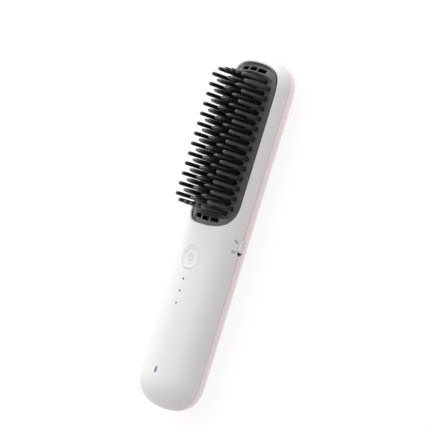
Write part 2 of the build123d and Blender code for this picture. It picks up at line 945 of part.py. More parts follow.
def cell_cradle():
    """Open trough under the cell, closed at both ends, with four screw ears."""
    inner = cell_radius + cradle_gap
    tail = cell_tail_end - tab_thickness - cradle_gap
    head = cell_head_end + tab_thickness + cradle_gap
    keep = slab(-far, -cell_drop + cradle_rise)
    trough = lying(inner + cradle_wall, tail - cradle_end, head + cradle_end) & keep
    ears = [post(x, y, cradle_ear_bottom(), -cell_drop, small_boss_radius) for x, y in cradle_screws]
    for x, y in cradle_screws:
        inside, outside = sorted((x, x / abs(x) * cell_radius))
        half = small_boss_radius
        ears.append(block(inside, outside, y - half, y + half, cradle_ear_bottom(), -cell_drop))
    hollow = lying(inner, tail, head)
    side = tab_width / 2 + tab_gap
    low = -cell_drop - cradle_window_drop
    window = block(-side, side, tail - 2 * cradle_end, head + 2 * cradle_end, low, far)
    holes = [post(x, y, -far, far, small_screw_radius + screw_gap) for x, y in cradle_screws]
    return trough + ears - hollow - window - holes


def cradle_screw_set():
    length = small_screw_bite + cradle_ear_thickness
    return [small_screw(x, y, -cell_drop, False, length) for x, y in cradle_screws]


def cell_tabs():
    """Nickel strips on the two ends of the cell."""
    low = -cell_drop - tab_height / 2
    pieces = []
    for y0 in (cell_head_end, cell_tail_end - tab_thickness):
        y1 = y0 + tab_thickness
        pieces.append(block(-tab_width / 2, tab_width / 2, y0, y1, low, low + tab_height))
    return pieces


def insulating_sheet():
    """Thin sheet between the cell and the solder side of the board."""
    low = -cell_drop + cell_radius + cradle_gap
    half = sheet_width / 2
    y0, y1 = cell_tail_end + sheet_inset, cell_head_end - sheet_inset
    return block(-half, half, y0, y1, low, low + sheet_thickness)


# Charging socket


def usb_board_bottom():
    return -usb_height / 2 - usb_board_thickness


def usb_socket():
    """Seamless steel shell of the socket, open at its mouth."""
    back = Plane.XZ.offset(-usb_mouth)
    shell = extrude(back * SlotOverall(usb_width, usb_height), amount=-usb_depth)
    inside = SlotOverall(usb_width - 2 * usb_wall, usb_height - 2 * usb_wall)
    return shell - extrude(back * inside, amount=-(usb_depth - usb_wall))


def usb_tongue():
    """Contact tongue in the middle of the socket."""
    half = usb_tongue_width / 2
    side = usb_tongue_thickness / 2
    back = usb_mouth + usb_depth - usb_wall
    return block(-half, half, usb_mouth + usb_tongue_recess, back, -side, side)


def usb_board():
    half = usb_board_width / 2
    board = block(-half, half, usb_board_tail_end, usb_board_head_end, usb_board_bottom(), -usb_height / 2)
    return board - [post(x, y, -far, far, small_screw_radius + screw_gap) for x, y in usb_screws]


def usb_screw_set():
    length = small_screw_bite + usb_board_thickness
    return [small_screw(x, y, -usb_height / 2, False, length) for x, y in usb_screws]


# Leads


def cell_leads():
    """From the cell's end tabs up to the board."""
    pieces = []
    for y, away in ((cell_head_end + tab_thickness, 1), (cell_tail_end - tab_thickness, -1)):
        out = y + away * cell_lead_reach
        pieces.append(lead([(0, y, -cell_drop), (0, out, -cell_drop), (0, out, board_bottom)], thick_lead))
    return pieces


def heater_leads():
    """From the element's end down through the carrier and back to the board."""
    height = (plate_bottom + element_bottom) / 2
    pieces = []
    start = head_centre - element_length / 2
    rise = board_head_end - heater_lead_rise
    for side in (-1, 1):
        x = side * (element_width / 2 - element_lead_inset)
        points = [(x, start, height), (x, lead_drop(), height), (x, lead_drop(), lead_level)]
        points += [(x, rise, lead_level), (x, rise, board_bottom)]
        pieces.append(lead(points, thick_lead))
    return pieces


def sensor_leads():
    """From the temperature sensor and the thermal fuse to the board."""
    pieces = []
    rise = board_head_end - sensor_lead_rise
    sensor = (sensor_across, sensor_length, sensor_radius)
    fuse = (-sensor_across, fuse_length, fuse_radius)
    for x, length, radius in (sensor, fuse):
        start = head_centre - length / 2
        height = plate_bottom - radius
        inner = x * sensor_lead_across / sensor_across
        points = [(x, start, height), (x, lead_drop(), height), (x, lead_drop(), lead_level)]
        points += [(inner, head_posts[0][1] + cover_boss_radius / 4, lead_level)]
        points += [(inner, rise, lead_level), (inner, rise, board_bottom)]
        pieces.append(lead(points, thin_lead))
    return pieces


def ion_leads():
    """Two leads from the board to the module, and one from the module to each needle."""
    pieces = []
    tail = ion_place - ion_length / 2
    head = ion_place + ion_length / 2
    rise = board_head_end - ion_lead_rise
    level = ion_lead_level
    for x in (-ion_lead_across, ion_lead_across):
        pieces.append(lead([(x, tail, level), (x, rise, level), (x, rise, board_bottom)], thin_lead))
    for x, y in needle_places():
        start = head if y > ion_place else tail
        pieces.append(lead([(x, start, level), (x, y, level), (x, y, needle_foot)], thin_lead))
    return pieces


def switch_leads():
    """From the side board up to the main board."""
    face = switch_front - switch_depth - side_board_thickness
    level = side_board_height / 2 - switch_lead_drop
    rise = board_width / 2 - switch_lead_inset
    pieces = []
    for offset in switch_lead_rises:
        y = board_head_end - offset
        pieces.append(lead([(face, y, level), (rise, y, level), (rise, y, board_bottom)], thin_lead))
    return pieces


def usb_leads():
    """From the socket's board up to the tail end of the main board."""
    y = usb_board_head_end - usb_lead_inset
    rise = board_tail_end + usb_lead_rise
    level = board_bottom - usb_lead_drop
    pieces = []
    for x in (-usb_lead_across, usb_lead_across):
        points = [(x, y, -usb_height / 2), (x, y, level), (x, rise, level), (x, rise, board_bottom)]
        pieces.append(lead(points, thin_lead))
    return pieces


os.makedirs("parts", exist_ok=True)

save("front_cover", front_cover())
save("rear_cover", rear_cover())
save("screw_plugs", screw_plugs())
save("head_tray", head_tray())
save("outer_pins", outer_pins())
save("comb_plate", comb_plate())
save("comb_fins", comb_fins())
save("heating_element", heating_element())
save("mica_sheet", mica_sheet())
save("heater_clamp", heater_clamp())
save("heater_carrier", heater_carrier())
save("temperature_sensor", temperature_sensor())
save("thermal_fuse", thermal_fuse())
save("ion_module", ion_module())
save("ion_needles", ion_needles())
save("cover_screws", cover_screw_set())
save("main_board", main_board())
save("board_screws", board_screw_set())
save("control_chips", control_chips())
save("power_transistors", power_transistors())
save("choke_coil", choke_coil())
save("capacitors", capacitors())
save("indicator_lamps", indicator_lamps())
save("charge_lamp", charge_lamp())
save("indicator_windows", indicator_windows())
save("charge_window", charge_window())
save("tact_switch", tact_switch())
save("tact_plunger", tact_plunger())
save("power_button", power_button())
save("lock_slider", lock_slider())
save("switch_lever", switch_lever())
save("slide_switch", slide_switch())
save("side_board", side_board())
save("battery_cell", battery_cell())
save("cell_cradle", cell_cradle())
save("cradle_screws", cradle_screw_set())
save("cell_tabs", cell_tabs())
save("insulating_sheet", insulating_sheet())
save("usb_socket", usb_socket())
save("usb_tongue", usb_tongue())
save("usb_board", usb_board())
save("usb_screws", usb_screw_set())
save("cell_leads", cell_leads())
save("heater_leads", heater_leads())
save("sensor_leads", sensor_leads())
save("ion_leads", ion_leads())
save("switch_leads", switch_leads())
save("usb_leads", usb_leads())
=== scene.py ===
from math import cos, hypot, pi, radians, sin, sqrt

import bmesh
import bpy
from mathutils import Matrix, Vector


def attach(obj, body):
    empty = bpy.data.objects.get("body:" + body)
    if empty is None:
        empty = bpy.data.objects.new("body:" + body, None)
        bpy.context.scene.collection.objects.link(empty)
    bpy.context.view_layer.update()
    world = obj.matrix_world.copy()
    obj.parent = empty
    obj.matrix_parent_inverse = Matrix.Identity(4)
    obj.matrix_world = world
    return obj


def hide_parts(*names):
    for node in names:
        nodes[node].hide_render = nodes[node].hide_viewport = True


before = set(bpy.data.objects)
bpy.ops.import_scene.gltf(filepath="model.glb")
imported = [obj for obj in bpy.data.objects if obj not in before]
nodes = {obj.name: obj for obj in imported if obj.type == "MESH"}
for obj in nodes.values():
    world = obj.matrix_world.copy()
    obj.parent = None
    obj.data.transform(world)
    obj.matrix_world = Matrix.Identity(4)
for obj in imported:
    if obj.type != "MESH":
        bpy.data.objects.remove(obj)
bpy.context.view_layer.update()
mm = 0.001


# Front cover
#
# The upper half of the handle and head: one satin white injection-moulded shell. It holds the tray in its
# opening, and its lower edge meets the rear cover all the way round.

half_width = 23.7 * mm
half_depth = 14.4 * mm
half_length = 104.35 * mm
end_length = 19.0 * mm
end_fullness = 0.664
parting_height = 13.95 * mm

# Points closer than the weld are one. A face belongs to the outer skin if it lies this near the body's true
# form and faces nearly its way. Faces that meet at more than the edge angle keep a sharp edge.
weld = 0.001 * mm
skin_depth = 0.12 * mm
skin_match = 0.97
edge_angle = 35


class Term:
    """One value inside a recipe. Arithmetic on it adds Math nodes to that recipe."""

    def __init__(self, recipe, socket):
        self.recipe = recipe
        self.socket = socket

    def math(self, operation, *values):
        return self.recipe.node("ShaderNodeMath", {"operation": operation}, values)

    def __add__(self, other):
        return self.math("ADD", self, other)

    def __sub__(self, other):
        return self.math("SUBTRACT", self, other)

    def __mul__(self, other):
        return self.math("MULTIPLY", self, other)

    def __radd__(self, other):
        return self.math("ADD", other, self)

    def __rsub__(self, other):
        return self.math("SUBTRACT", other, self)

    def __rmul__(self, other):
        return self.math("MULTIPLY", other, self)

    def __abs__(self):
        return self.math("ABSOLUTE", self)


class Recipe:
    """The nodes behind a surface, or behind the light round the brush."""

    def __init__(self, tree):
        self.tree = tree

    def node(self, kind, settings=None, values=(), output=0):
        """Adds any node: its settings first, then the values or links of its sockets."""
        made = self.tree.nodes.new(kind)
        for key, value in (settings or {}).items():
            setattr(made, key, value)
        for key, value in values.items() if isinstance(values, dict) else enumerate(values):
            self.join(made.inputs[key], value)
        return Term(self, made.outputs[output])

    def join(self, socket, value):
        """Links a term to a socket, or gives the socket a fixed value."""
        if isinstance(value, Term):
            self.tree.links.new(value.socket, socket)
        elif socket.type == "RGBA":
            socket.default_value = (*value, 1)
        else:
            socket.default_value = value


class Finish(Recipe):
    """The surface of one piece, built up around a single shader in the piece's own coordinates."""

    def __init__(self, name, **sockets):
        self.material = bpy.data.materials.new(name)
        self.material.use_nodes = True
        super().__init__(self.material.node_tree)
        self.shader = self.tree.nodes["Principled BSDF"]
        self.place = self.node("ShaderNodeTexCoord", output="Object")
        self.give(**sockets)

    def give(self, **sockets):
        """Sets shader sockets by name, with an underscore for each space."""
        for name, value in sockets.items():
            self.join(self.shader.inputs[name.replace("_", " ")], value)

    def noise(self, scale, detail=2.0, roughness=0.5, vector=None):
        values = {"Vector": vector or self.place, "Scale": scale, "Detail": detail, "Roughness": roughness}
        return self.node("ShaderNodeTexNoise", {}, values)

    def ramp(self, value, low, high):
        """0 below low and 1 above high, smooth in between."""
        settings = {"interpolation_type": "SMOOTHSTEP", "clamp": True}
        values = {"Value": value, "From Min": low, "From Max": high}
        return self.node("ShaderNodeMapRange", settings, values)

    def blend(self, amount, first, second):
        """One colour turning into another."""
        return self.node("ShaderNodeMix", {"data_type": "RGBA"}, {0: amount, 6: first, 7: second}, 2)

    def stretch(self, x, y, z):
        """The piece's coordinates, scaled on each axis."""
        values = {0: self.place, 1: (x, y, z)}
        return self.node("ShaderNodeVectorMath", {"operation": "MULTIPLY"}, values)

    def axes(self):
        """The piece's x, y and z as three terms."""
        split = self.node("ShaderNodeSeparateXYZ", {}, (self.place,)).socket.node
        return [Term(self, socket) for socket in split.outputs]

    def relief(self, pattern, height):
        """Bumps of that height, in metres, where the pattern is bright."""
        self.give(Normal=self.node("ShaderNodeBump", {}, {"Height": pattern, "Distance": height}))

    def on(self, *names):
        """Puts this finish on CAD nodes."""
        for name in names:
            coat(nodes[name], self)
        return self


def coat(piece, finish):
    """Gives every material slot of a piece one finish."""
    if not piece.material_slots:
        piece.data.materials.append(finish.material)
    for slot in piece.material_slots:
        slot.material = finish.material


def moulded(name, light, dark, roughness, grain, depth):
    """Injection-moulded plastic: faint clouds in the colour and a fine even grain from the mould."""
    finish = Finish(name)
    finish.colour = finish.blend(finish.noise(60, 3), light, dark)
    finish.give(Base_Color=finish.colour)
    finish.give(Roughness=roughness + 0.08 * (finish.noise(420, 2) - 0.5))
    finish.relief(finish.noise(grain, 2, 0.6), depth)
    return finish


def piece_from(shape, name, body, smooth=40.0):
    """Turns worked mesh into a shown piece that rides on a body, smooth up to that angle."""
    mesh = bpy.data.meshes.new(name)
    shape.to_mesh(mesh)
    shape.free()
    piece = bpy.data.objects.new(name, mesh)
    bpy.context.scene.collection.objects.link(piece)
    for face in mesh.polygons:
        face.use_smooth = True
    mesh.set_sharp_from_angle(angle=radians(smooth))
    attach(piece, body)
    return piece


def profile(y):
    """Half width of the body at a place along it, and how fast that changes. Each end is one cubic curve."""
    straight = half_length - end_length
    past = abs(y) - straight
    if past <= 0:
        return half_width, 0.0
    low, high = 0.0, 1.0
    for _ in range(40):
        t = (low + high) / 2
        run = 3 * t * (1 - t) ** 2 * end_fullness + 3 * t * t * (1 - t) + t ** 3
        low, high = (t, high) if run * end_length < past else (low, t)
    width = half_width * ((1 - t) ** 3 + 3 * t * (1 - t) ** 2 + 3 * t * t * (1 - t) * end_fullness)
    run_rate = 3 * end_length * (end_fullness * (1 - t) * (1 - 3 * t) + t * (2 - 3 * t) + t * t)
    drop = -3 * (1 - t) ** 2 + 3 * (1 - t) * (1 - 3 * t) + 3 * end_fullness * t * (2 - 3 * t)
    slope = half_width * drop / max(run_rate, 1e-9)
    return width, (slope if y > 0 else -slope)


def body_normal(place):
    """Outward normal of the body's form, and how far inside its skin a point lies."""
    flat = half_width / half_depth
    x, y, z = place.x, place.y, (place.z - parting_height) * flat
    width, slope = profile(max(-half_length, min(half_length, y)))
    radius = hypot(x, z)
    depth = (width - radius) / hypot(1, slope)
    return Vector((x, -radius * slope, z * flat)).normalized(), depth


def smooth_skin(node, name, body):
    """A copy of a moulded shell whose outer skin is shaded as the true curve."""
    piece = nodes[node].copy()
    piece.data = nodes[node].data.copy()
    piece.name = name
    bpy.context.scene.collection.objects.link(piece)
    piece.parent = None
    for key in list(piece.keys()):
        del piece[key]
    mesh = piece.data
    shell = bmesh.new()
    shell.from_mesh(mesh)
    bmesh.ops.remove_doubles(shell, verts=shell.verts, dist=weld)
    shell.to_mesh(mesh)
    shell.free()
    for face in mesh.polygons:
        face.use_smooth = True
    mesh.set_sharp_from_angle(angle=radians(edge_angle))
    normals = [corner.vector.copy() for corner in mesh.corner_normals]
    for face in mesh.polygons:
        ideal, depth = body_normal(face.center)
        if abs(depth) < skin_depth and ideal.dot(face.normal) > skin_match:
            for loop in face.loop_indices:
                place = mesh.vertices[mesh.loops[loop].vertex_index].co
                normals[loop] = body_normal(place)[0]
    mesh.normals_split_custom_set(normals)
    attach(piece, body)
    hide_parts(node)
    return piece


satin_white = moulded("satin_white", (0.86, 0.85, 0.845), (0.845, 0.835, 0.83), 0.4, 2600, 0.004 * mm)
front = smooth_skin("front_cover", "front_shell", "body")
coat(front, satin_white)


# Rear cover and its plugs
#
# The lower half of the shell, moulded in a glossier white, its colour painted paler and pinker as painted
# pink light from below. Screws pass up through it, and six round plugs are pressed over their heads, flush
# with the skin.

rear = smooth_skin("rear_cover", "rear_shell", "body")
# Painted pink light: this white is paler and pinker than the front cover's, standing in for light from
# below.
pink_lit = moulded("pink_lit_white", (0.97, 0.86, 0.862), (0.955, 0.845, 0.848), 0.3, 2600, 0.003 * mm)
pink_lit.give(Coat_Weight=0.9, Coat_Roughness=0.15)
coat(rear, pink_lit)
plug_white = moulded("plug_white", (0.84, 0.83, 0.825), (0.82, 0.81, 0.805), 0.46, 2200, 0.006 * mm)
plug_white.on("screw_plugs")


# Head tray
#
# The grey dish that closes the head opening: fine matt plastic with a hole for each tooth and vent slots at
# both ends, whose upright walls are painted near black as painted shade. A flange behind the cover's wall
# holds it down.

head_middle = 51.1 * mm
vents_from = 38.0 * mm
vents_edge = 0.5 * mm


def rise(finish):
    """1 where a surface faces up, 0 where it stands upright and -1 where it faces down."""
    facing = finish.node("ShaderNodeNewGeometry", output="Normal")
    return finish.node("ShaderNodeSeparateXYZ", {}, (facing,), "Z")


tray_grey = moulded("tray_grey", (0.115, 0.116, 0.117), (0.106, 0.107, 0.108), 0.44, 2100, 0.008 * mm)
from_middle = abs(tray_grey.axes()[1] - head_middle)
by_vents = tray_grey.ramp(from_middle, vents_from, vents_from + vents_edge)
# Painted shade: the upright walls of the vent slots are painted near black.
painted_vent_shade = by_vents * (1 - tray_grey.ramp(abs(rise(tray_grey)), 0.3, 0.6))
tray_grey.give(Base_Color=tray_grey.blend(painted_vent_shade, tray_grey.colour, (0.012, 0.012, 0.012)))
tray_grey.on("head_tray")


# Outer pins
#
# Cool pins round the edge of the head, moulded in one black nylon frame that lies under the tray. The tips
# are rounded and glossy, and a painted highlight makes them a little paler toward the top.

highlight_low, highlight_high = 35.0 * mm, 40.2 * mm
gloss_low, gloss_high = 37.0 * mm, 39.4 * mm
pin_black = Finish("pin_black", IOR=1.48, Coat_Roughness=0.14)
up_pin = pin_black.axes()[2]
# Painted highlight: the colour turns a little paler, in patches, toward the tips.
tip_highlight = pin_black.ramp(up_pin, highlight_low, highlight_high) * pin_black.noise(900, 3)
pin_black.give(Base_Color=pin_black.blend(tip_highlight, (0.021, 0.021, 0.022), (0.04, 0.04, 0.042)))
pin_black.give(Roughness=0.44 + 0.12 * pin_black.noise(700, 2))
pin_black.give(Coat_Weight=0.05 + 0.95 * pin_black.ramp(up_pin, gloss_low, gloss_high))
pin_black.relief(pin_black.noise(1900, 2, 0.6), 0.006 * mm)
pin_black.on("outer_pins")


# Heated comb
#
# An aluminium plate with leaf-shaped fins brazed upright on it, all under a black satin coating. The element
# presses on the plate from below, and the fins carry the heat up into the hair. Their crowns are glossier.

crown_low, crown_high = 34.0 * mm, 39.0 * mm
crown_angle = 47
comb_black = Finish("comb_black", IOR=1.5, Coat_Roughness=0.16)
speck = comb_black.ramp(comb_black.noise(1500, 4, 0.7), 0.56, 0.66)
comb_black.give(Base_Color=comb_black.blend(speck, (0.02, 0.02, 0.021), (0.03, 0.03, 0.032)))
comb_black.give(Roughness=0.38 + 0.14 * comb_black.noise(800, 3))
comb_black.give(Coat_Weight=0.1 + 0.9 * comb_black.ramp(comb_black.axes()[2], crown_low, crown_high))
comb_black.relief(comb_black.noise(2400, 3, 0.6), 0.008 * mm)
comb_black.on("comb_plate")
fins = bmesh.new()
fins.from_mesh(nodes["comb_fins"].data)
bmesh.ops.remove_doubles(fins, verts=fins.verts, dist=weld)
leaves = piece_from(fins, "comb_leaves", "body", crown_angle)
coat(leaves, comb_black)
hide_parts("comb_fins")


# Heating element, mica sheet and clamp
#
# A pale ceramic heater plate, a pressed mica sheet under it, and a slotted steel plate that presses both up
# against the comb.

ceramic = Finish("fired_ceramic", Roughness=0.7)
grit = ceramic.ramp(ceramic.noise(1700, 4, 0.7), 0.52, 0.62)
ceramic.give(Base_Color=ceramic.blend(grit, (0.72, 0.69, 0.62), (0.6, 0.57, 0.5)))
ceramic.relief(ceramic.noise(1200, 3), 0.02 * mm)
ceramic.on("heating_element")
mica = Finish("mica", Coat_Weight=0.3)
flakes = mica.node("ShaderNodeTexVoronoi", {}, {"Vector": mica.place, "Scale": 600})
mica.give(Base_Color=mica.blend(flakes, (0.5, 0.42, 0.28), (0.36, 0.29, 0.18)))
mica.give(Roughness=0.35 + 0.3 * flakes)
mica.on("mica_sheet")


def drawn_metal(name, light, dark, roughness, direction):
    """Rolled or drawn metal: long fine scratches along the piece."""
    finish = Finish(name, Metallic=1.0)
    lines = finish.noise(1, 3, 0.6, finish.stretch(*direction))
    finish.give(Base_Color=finish.blend(lines, light, dark))
    finish.give(Roughness=roughness + 0.16 * (lines - 0.5))
    finish.relief(lines, 0.003 * mm)
    return finish


clamp_steel = drawn_metal("clamp_steel", (0.56, 0.56, 0.57), (0.44, 0.44, 0.45), 0.36, (3000, 90, 90))
clamp_steel.on("heater_clamp")


# Heater carrier
#
# A heat-resistant black moulding that holds the heater stack, the pins' frame and the needles. Four long
# screws go through its ears, between the rear cover's bosses and the tray's posts.

carrier_colours = (0.012, 0.012, 0.013), (0.018, 0.018, 0.018)
carrier_black = moulded("carrier_black", *carrier_colours, 0.62, 1500, 0.015 * mm)
carrier_black.on("heater_carrier")


# Temperature sensor and thermal fuse
#
# A glass bead with the sensor inside, and a round fuse in a pale case with a darker band at each end. Both
# lie against the comb's plate, one on each side of the element.

sensor_amber = Finish("sensor_amber", Roughness=0.12, Transmission_Weight=0.55, IOR=1.5)
bead = sensor_amber.noise(900, 2)
sensor_amber.give(Base_Color=sensor_amber.blend(bead, (0.75, 0.42, 0.16), (0.6, 0.3, 0.1)))
sensor_amber.on("temperature_sensor")
fuse_band = 3.2 * mm
band_edge = 0.2 * mm
fuse_case = Finish("fuse_case")
bands = fuse_case.ramp(abs(fuse_case.axes()[1] - head_middle), fuse_band, fuse_band + band_edge)
fuse_case.give(Base_Color=fuse_case.blend(bands, (0.74, 0.71, 0.64), (0.5, 0.48, 0.44)))
fuse_case.give(Roughness=0.4 + 0.2 * fuse_case.noise(900, 2))
fuse_case.on("thermal_fuse")


# Ion module and needles
#
# A potted black module on two rests in the rear cover. Four pointed steel needles stand in the carrier under
# the vents and give off the ions that it makes.

potting = moulded("potting_black", (0.02, 0.02, 0.022), (0.03, 0.03, 0.03), 0.3, 500, 0.03 * mm)
potting.on("ion_module")
needle_steel = drawn_metal("needle_steel", (0.12, 0.12, 0.125), (0.08, 0.08, 0.082), 0.45, (600, 600, 2500))
needle_steel.on("ion_needles")


# Circuit boards
#
# The main board under the front cover, the side board behind the lock slider and the small board of the
# charging socket: green coated glass fibre with copper tracks showing faintly through.


def board_green(name, pitch):
    """Green solder coat over square-cornered tracks, with the glass weave in the gloss."""
    finish = Finish(name, Coat_Weight=0.4, Coat_Roughness=0.2)
    cells = {"Vector": finish.place, "Scale": 1 / pitch}
    tracks = finish.node("ShaderNodeTexVoronoi", {"distance": "CHEBYCHEV"}, cells)
    tracks = finish.ramp(tracks, 0.36, 0.44)
    finish.give(Base_Color=finish.blend(tracks, (0.012, 0.1, 0.045), (0.02, 0.17, 0.075)))
    weave = finish.noise(1, 2, 0.5, finish.stretch(2600, 2600, 900))
    finish.give(Roughness=0.38 + 0.14 * weave)
    finish.relief(tracks + 0.15 * weave, 0.03 * mm)
    return finish


board_green("main_board_green", 2.4 * mm).on("main_board")
board_green("small_board_green", 1.7 * mm).on("side_board", "usb_board")


# Parts soldered to the main board
#
# Two black epoxy chips, two power transistors, a wound choke in its black case, and two capacitors in bare
# aluminium cans.


def epoxy(name, light, dark, roughness):
    """Moulded epoxy with a fine mineral sparkle."""
    finish = Finish(name)
    filler = finish.ramp(finish.noise(4200, 4, 0.7), 0.55, 0.7)
    finish.give(Base_Color=finish.blend(filler, light, dark), Roughness=roughness + 0.1 * filler)
    finish.relief(finish.noise(2800, 2), 0.006 * mm)
    return finish


epoxy("chip_epoxy", (0.018, 0.018, 0.019), (0.035, 0.035, 0.036), 0.5).on("control_chips")
epoxy("transistor_epoxy", (0.014, 0.014, 0.015), (0.03, 0.03, 0.03), 0.42).on("power_transistors")
choke = epoxy("choke_black", (0.025, 0.024, 0.023), (0.045, 0.043, 0.04), 0.55)
turns = choke.ramp(choke.noise(1, 0, 0.5, choke.stretch(80, 80, 3600)), 0.42, 0.58)
choke.relief(turns, 0.04 * mm)
choke.on("choke_coil")
can = drawn_metal("capacitor_can", (0.68, 0.68, 0.69), (0.56, 0.56, 0.57), 0.3, (200, 200, 4000))
can.on("capacitors")


# Indicator lamps and windows
#
# Four small lamps on the board. Three round smoky windows, and a longer blue one by the tail, carry their
# light through the cover. Unlit, they look dark from outside.

lamp_body = Finish("lamp_body", Roughness=0.4)
phosphor = lamp_body.noise(1800, 2)
lamp_body.give(Base_Color=lamp_body.blend(phosphor, (0.78, 0.7, 0.34), (0.86, 0.84, 0.7)))
lamp_body.on("indicator_lamps", "charge_lamp")
smoked = Finish("smoked_window", Coat_Weight=0.5, Coat_Roughness=0.12)
smoke = smoked.noise(1400, 2)
smoked.give(Base_Color=smoked.blend(smoke, (0.06, 0.062, 0.07), (0.1, 0.1, 0.115)))
smoked.give(Roughness=0.22 + 0.1 * smoke)
smoked.on("indicator_windows")
charge_middle = -83.6 * mm
fade_from = 0.4 * mm
fade_to = 1.9 * mm
charge_blue = Finish("charge_window_blue", Coat_Weight=0.5, Coat_Roughness=0.12)
fade = charge_blue.ramp(abs(charge_blue.axes()[1] - charge_middle), fade_from, fade_to)
haze = 0.6 * fade + 0.4 * charge_blue.noise(1200, 2)
charge_blue.give(Base_Color=charge_blue.blend(haze, (0.085, 0.12, 0.26), (0.16, 0.19, 0.32)))
charge_blue.give(Roughness=0.24 + 0.1 * charge_blue.noise(900, 2))
charge_blue.on("charge_window")


# Power button and its switch
#
# A round white cap flush with the cover, with a shallow dish for the thumb and the power sign printed in
# grey. A flange holds it behind the wall and a foot presses the plunger of the tact switch.

button_middle = -17.2 * mm
button_radius = 6.85 * mm
button_flange = 8.0 * mm
dish_rim = 6.1 * mm
dish_floor = 4.5 * mm
dish_depth = 0.42 * mm
button_edge = 0.28 * mm


def skin_height(x, inset=0.0):
    """Height of the straight part of the body's skin above its parting line."""
    wide = half_width - inset
    return (half_depth - inset) * sqrt(1 - (x / wide) ** 2)


def button_top(x, y):
    """Height of the cap's outside: the body's curve, with the dish sunk into it."""
    share = (hypot(x, y) - dish_floor) / (dish_rim - dish_floor)
    share = min(1.0, max(0.0, share))
    return skin_height(x) - dish_depth * (1 - share * share * (3 - 2 * share))


def button_cap():
    """Rings from the middle of the dish, over the edge, down the side and round the flange to the foot."""
    ring_step = 0.12 * mm
    ring_count = 53
    edge_steps = 6
    side = 1.0 * mm
    under = 1.97 * mm
    floor = 2.77 * mm
    foot_radius = 1.5 * mm
    foot_bottom = 11.1 * mm
    around = 96

    # Each ring has a radius and a drop below the outside. One without a drop lies on the dish, and the last
    # is the flat end of the foot.
    rings = [(ring_step * i, None) for i in range(1, ring_count + 1)]
    for i in range(edge_steps + 1):
        turn = radians(90 * i / edge_steps)
        rings.append((button_radius - button_edge * (1 - sin(turn)), button_edge * (1 - cos(turn))))
    rings += [(button_radius, side), (button_radius, under)]
    rings += [(button_flange, under), (button_flange, floor)]
    rings += [(foot_radius, floor), (foot_radius, None)]
    cap = bmesh.new()
    loops = []
    for number, (radius, drop) in enumerate(rings):
        loop = []
        for i in range(around):
            turn = 2 * pi * i / around
            x, y = radius * cos(turn), radius * sin(turn)
            if number == len(rings) - 1:
                z = foot_bottom
            elif drop is None:
                z = button_top(x, y)
            elif drop < under:
                z = button_top(x, y) - drop
            else:
                z = skin_height(x, drop)
            loop.append(cap.verts.new((x, button_middle + y, parting_height + z)))
        loops.append(loop)
    middle = cap.verts.new((0, button_middle, parting_height + button_top(0, 0)))
    for i in range(around):
        j = (i + 1) % around
        cap.faces.new((middle, loops[0][i], loops[0][j]))
        for near, out in zip(loops, loops[1:]):
            cap.faces.new((near[i], out[i], out[j], near[j]))
    cap.faces.new(loops[-1])
    bmesh.ops.recalc_face_normals(cap, faces=cap.faces)
    return cap


button_white = moulded("button_white", (0.86, 0.85, 0.845), (0.845, 0.835, 0.83), 0.36, 2600, 0.003 * mm)
cap = piece_from(button_cap(), "button_cap", "button")
coat(cap, button_white)
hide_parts("power_button")


def ribbon(points, width, closed=False):
    """A stroke of even width along points of a flat drawing, as a row of four-cornered shapes."""
    count = len(points)
    sides = []
    for i, (a, b) in enumerate(points):
        before = points[i - 1] if i or closed else points[i]
        after = points[(i + 1) % count] if i + 1 < count or closed else points[i]
        along = Vector((after[0] - before[0], after[1] - before[1])).normalized() * width / 2
        sides.append(((a - along.y, b + along.x), (a + along.y, b - along.x)))
    runs = range(count if closed else count - 1)
    return [(sides[i][0], sides[i][1], sides[(i + 1) % count][1], sides[(i + 1) % count][0]) for i in runs]


def arc(a, b, radius, start, end, steps=32):
    """Points round part of a circle in a flat drawing, from one angle in degrees to another."""
    turns = [radians(start + (end - start) * i / steps) for i in range(steps + 1)]
    return [(a + radius * cos(turn), b + radius * sin(turn)) for turn in turns]


def printed(quads, wrap):
    """A thin film of ink: each shape of a flat drawing wrapped onto a surface."""
    film_depth = 0.02 * mm
    film = bmesh.new()
    corners = {}
    for quad in quads:
        for spot in quad:
            key = (round(spot[0], 7), round(spot[1], 7))
            if key not in corners:
                place, normal = wrap(*spot)
                pair = (place - normal * film_depth, place + normal * film_depth)
                corners[key] = [film.verts.new(end) for end in pair]
    rims = {}
    for quad in quads:
        ends = [corners[round(a, 7), round(b, 7)] for a, b in quad]
        film.faces.new([end[1] for end in ends])
        film.faces.new([end[0] for end in ends[::-1]])
        for first, second in zip(ends, ends[1:] + ends[:1]):
            rims.setdefault(frozenset((first[0], second[0])), []).append((first, second))
    for first, second in (pairs[0] for pairs in rims.values() if len(pairs) == 1):
        film.faces.new((first[0], second[0], second[1], first[1]))
    bmesh.ops.recalc_face_normals(film, faces=film.faces)
    return film


def on_button(a, b):
    """Where a spot of the power sign lies on the cap."""
    place = Vector((a, button_middle + b, parting_height + button_top(a, b)))
    return place, Vector((0, 0, 1))


def grey_ink(name, light, dark):
    """Pad-printed ink: a little uneven, and duller than the plastic under it."""
    finish = Finish(name)
    patches = finish.noise(2600, 3, 0.6)
    finish.give(Base_Color=finish.blend(patches, light, dark), Roughness=0.5 + 0.15 * patches)
    return finish


sign_radius = 1.75 * mm
sign_stroke = 0.42 * mm
sign_gap = 28
bar_low, bar_high = -0.1 * mm, 2.35 * mm
sign = ribbon(arc(0, 0, sign_radius, 90 + sign_gap, 450 - sign_gap), sign_stroke)
sign += ribbon([(0, bar_low), (0, bar_high)], sign_stroke)
power_sign = piece_from(printed(sign, on_button), "power_sign", "button")
coat(power_sign, grey_ink("sign_ink", (0.56, 0.55, 0.55), (0.5, 0.49, 0.49)))

nylon = moulded("switch_nylon", (0.72, 0.7, 0.64), (0.64, 0.62, 0.56), 0.5, 1900, 0.008 * mm)
nylon.on("tact_plunger", "switch_lever")
tact_black = moulded("tact_black", (0.022, 0.022, 0.024), (0.032, 0.032, 0.034), 0.45, 1800, 0.01 * mm)
tact_black.on("tact_switch")
